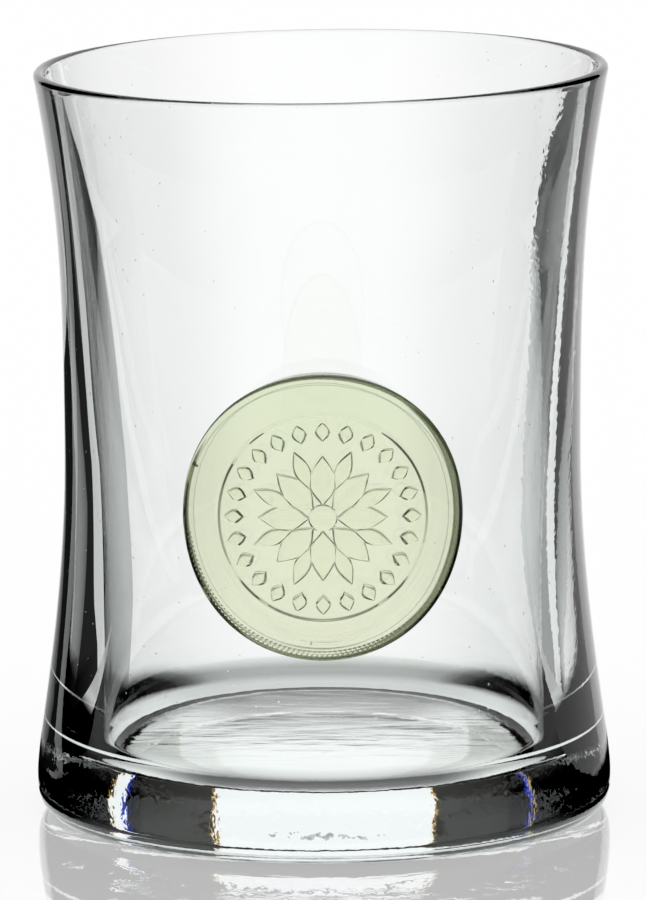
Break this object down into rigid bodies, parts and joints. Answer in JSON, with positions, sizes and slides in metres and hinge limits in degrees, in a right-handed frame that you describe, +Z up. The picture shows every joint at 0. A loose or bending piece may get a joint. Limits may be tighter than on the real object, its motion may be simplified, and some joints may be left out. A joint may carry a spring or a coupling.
{
  "type": "lowball glass",
  "caption": "Clear waisted drinking tumbler with a heavy base, a flared lip and a pale green pressed-glass seal with a rosette fused to its front; it stands on its flat foot.",
  "frame": {"origin": "middle of the foot, on the surface that the glass stands on", "axes": "+Z up through the mouth, +X to the right and the seal on the -Y side"},
  "size_m": [0.0806, 0.0806, 0.1054],
  "materials": {
    "clear_glass": "fire-polished clear glass, very slightly cool in thick places",
    "green_glass": "pale yellowish green pressed glass with fine raised lines"
  },
  "bodies": {
    "root": {"glass_body": "clear_glass", "medallion": "green_glass"}
  },
  "joints": []
}
